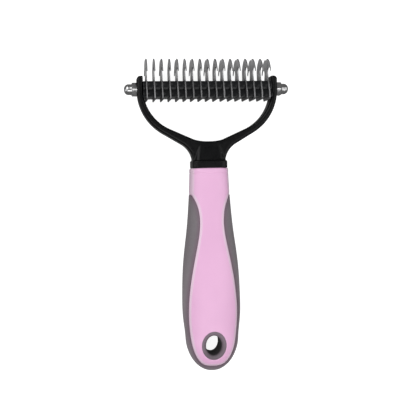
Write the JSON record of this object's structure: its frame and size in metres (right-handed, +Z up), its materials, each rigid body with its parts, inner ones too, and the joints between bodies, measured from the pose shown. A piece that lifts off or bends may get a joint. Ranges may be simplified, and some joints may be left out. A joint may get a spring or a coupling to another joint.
{
  "type": "undercoat rake",
  "caption": "Hand rake for pet undercoat: curved steel blades clamped in a row across a forked yoke on a soft-grip handle with a hanging hole.",
  "frame": {"origin": "centre of the bounding box on the surface that the rake lies on, under the middle plane of the handle", "axes": "+X along the row of blades to the right, +Y along the handle towards the blades, +Z up, out of the side that all claws point to"},
  "size_m": [0.09, 0.17, 0.022],
  "materials": {
    "pink_plastic": "satin moulded plastic",
    "grey_grip": "matt soft-touch elastomer",
    "black_plastic": "satin moulded plastic",
    "spacer_plastic": "satin moulded plastic",
    "blade_steel": "stamped and tumbled stainless steel",
    "rod_steel": "plain bright steel",
    "nut_chrome": "bright nickel plate"
  },
  "bodies": {
    "root": {"handle_core": "pink_plastic", "grip_overmould": "grey_grip", "hang_hole_liner": "grey_grip", "yoke_frame": "black_plastic", "tie_rod": "rod_steel", "dome_nut_left": "nut_chrome", "dome_nut_right": "nut_chrome", "blade_01": "blade_steel", "blade_02": "blade_steel", "blade_03": "blade_steel", "blade_04": "blade_steel", "blade_05": "blade_steel", "blade_06": "blade_steel", "blade_07": "blade_steel", "blade_08": "blade_steel", "blade_09": "blade_steel", "blade_10": "blade_steel", "blade_11": "blade_steel", "blade_12": "blade_steel", "blade_13": "blade_steel", "blade_14": "blade_steel", "blade_15": "blade_steel", "blade_16": "blade_steel", "blade_17": "blade_steel", "spacer_01": "spacer_plastic", "spacer_02": "spacer_plastic", "spacer_03": "spacer_plastic", "spacer_04": "spacer_plastic", "spacer_05": "spacer_plastic", "spacer_06": "spacer_plastic", "spacer_07": "spacer_plastic", "spacer_08": "spacer_plastic", "spacer_09": "spacer_plastic", "spacer_10": "spacer_plastic", "spacer_11": "spacer_plastic", "spacer_12": "spacer_plastic", "spacer_13": "spacer_plastic", "spacer_14": "spacer_plastic", "spacer_15": "spacer_plastic", "spacer_16": "spacer_plastic", "end_spacer_left": "spacer_plastic", "end_spacer_right": "spacer_plastic"}
  },
  "joints": []
}
